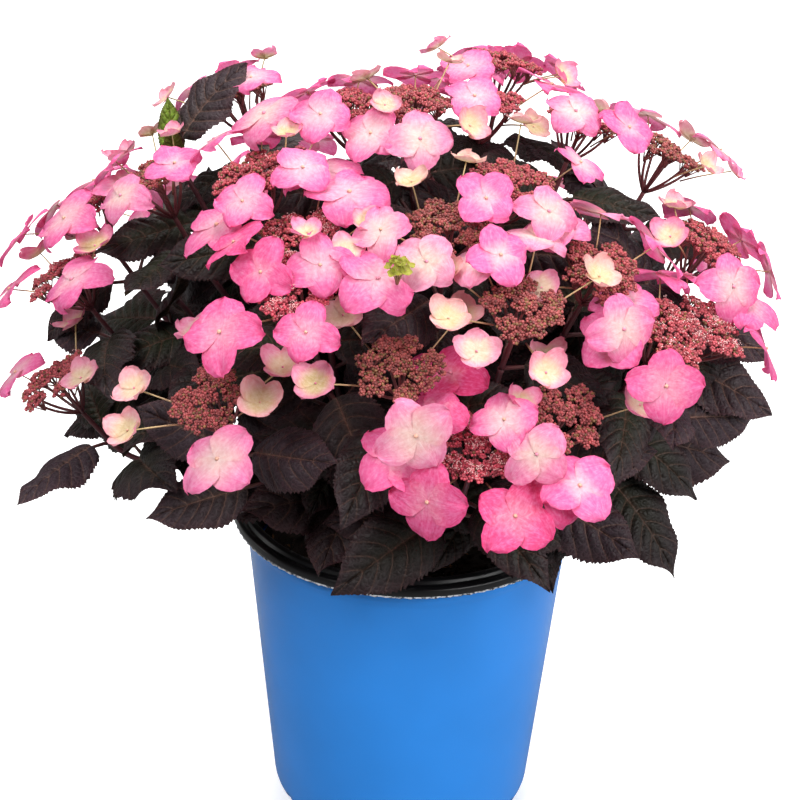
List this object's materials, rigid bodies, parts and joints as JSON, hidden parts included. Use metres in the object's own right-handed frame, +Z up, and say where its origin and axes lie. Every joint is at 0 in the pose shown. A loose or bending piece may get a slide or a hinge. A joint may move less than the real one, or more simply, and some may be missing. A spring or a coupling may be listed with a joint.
{
  "type": "potted mountain hydrangea",
  "caption": "Rounded garden shrub with dark toothed leaves and flat pink lacecap flower heads, growing from a woody crown in a tapered blue nursery pot with a rolled black rim.",
  "frame": {"origin": "centre of the pot's flat underside, on the surface that it stands on", "axes": "+Z up through the pot's axis, -Y towards the plant's front, +X to the right seen from the front"},
  "size_m": [0.5026, 0.4794, 0.5411],
  "materials": {
    "pot_blue": "smooth thermoformed plastic, glossy mid blue",
    "pot_black": "smooth black plastic lip and liner",
    "bark_mix": "loose dark brown shredded bark and peat",
    "stem": "dark burgundy stems, browner and barked at the foot",
    "leaf": "near-black burgundy leaves with a soft satin sheen and sunken veins",
    "sepal": "matte pink sterile florets, paler and cream at the middle",
    "buds": "dusky red-brown small fertile flower buds"
  },
  "bodies": {
    "root": {"pot_wall": "pot_blue", "pot_rim": "pot_black", "potting_mix": "bark_mix", "woody_crown": "stem", "cane_crown": "stem", "cane_crown_left": "stem", "cane_crown_right": "stem", "cane_crown_front": "stem", "cane_left_high": "stem", "cane_back_left_high": "stem", "cane_right_high": "stem", "cane_front_left": "stem", "cane_left": "stem", "cane_left_low": "stem", "cane_left_front": "stem", "cane_front": "stem", "cane_front_right": "stem", "cane_right_front": "stem", "cane_right": "stem", "cane_back_right": "stem", "cane_back": "stem", "cane_back_left": "stem", "foliage_crown": "leaf", "foliage_crown_left": "leaf", "foliage_crown_right": "leaf", "foliage_crown_front": "leaf", "foliage_left_high": "leaf", "foliage_back_left_high": "leaf", "foliage_right_high": "leaf", "foliage_front_left": "leaf", "foliage_left": "leaf", "foliage_left_low": "leaf", "foliage_left_front": "leaf", "foliage_front": "leaf", "foliage_front_right": "leaf", "foliage_right_front": "leaf", "foliage_right": "leaf", "foliage_back_right": "leaf", "foliage_back": "leaf", "foliage_back_left": "leaf"}
  },
  "joints": []
}
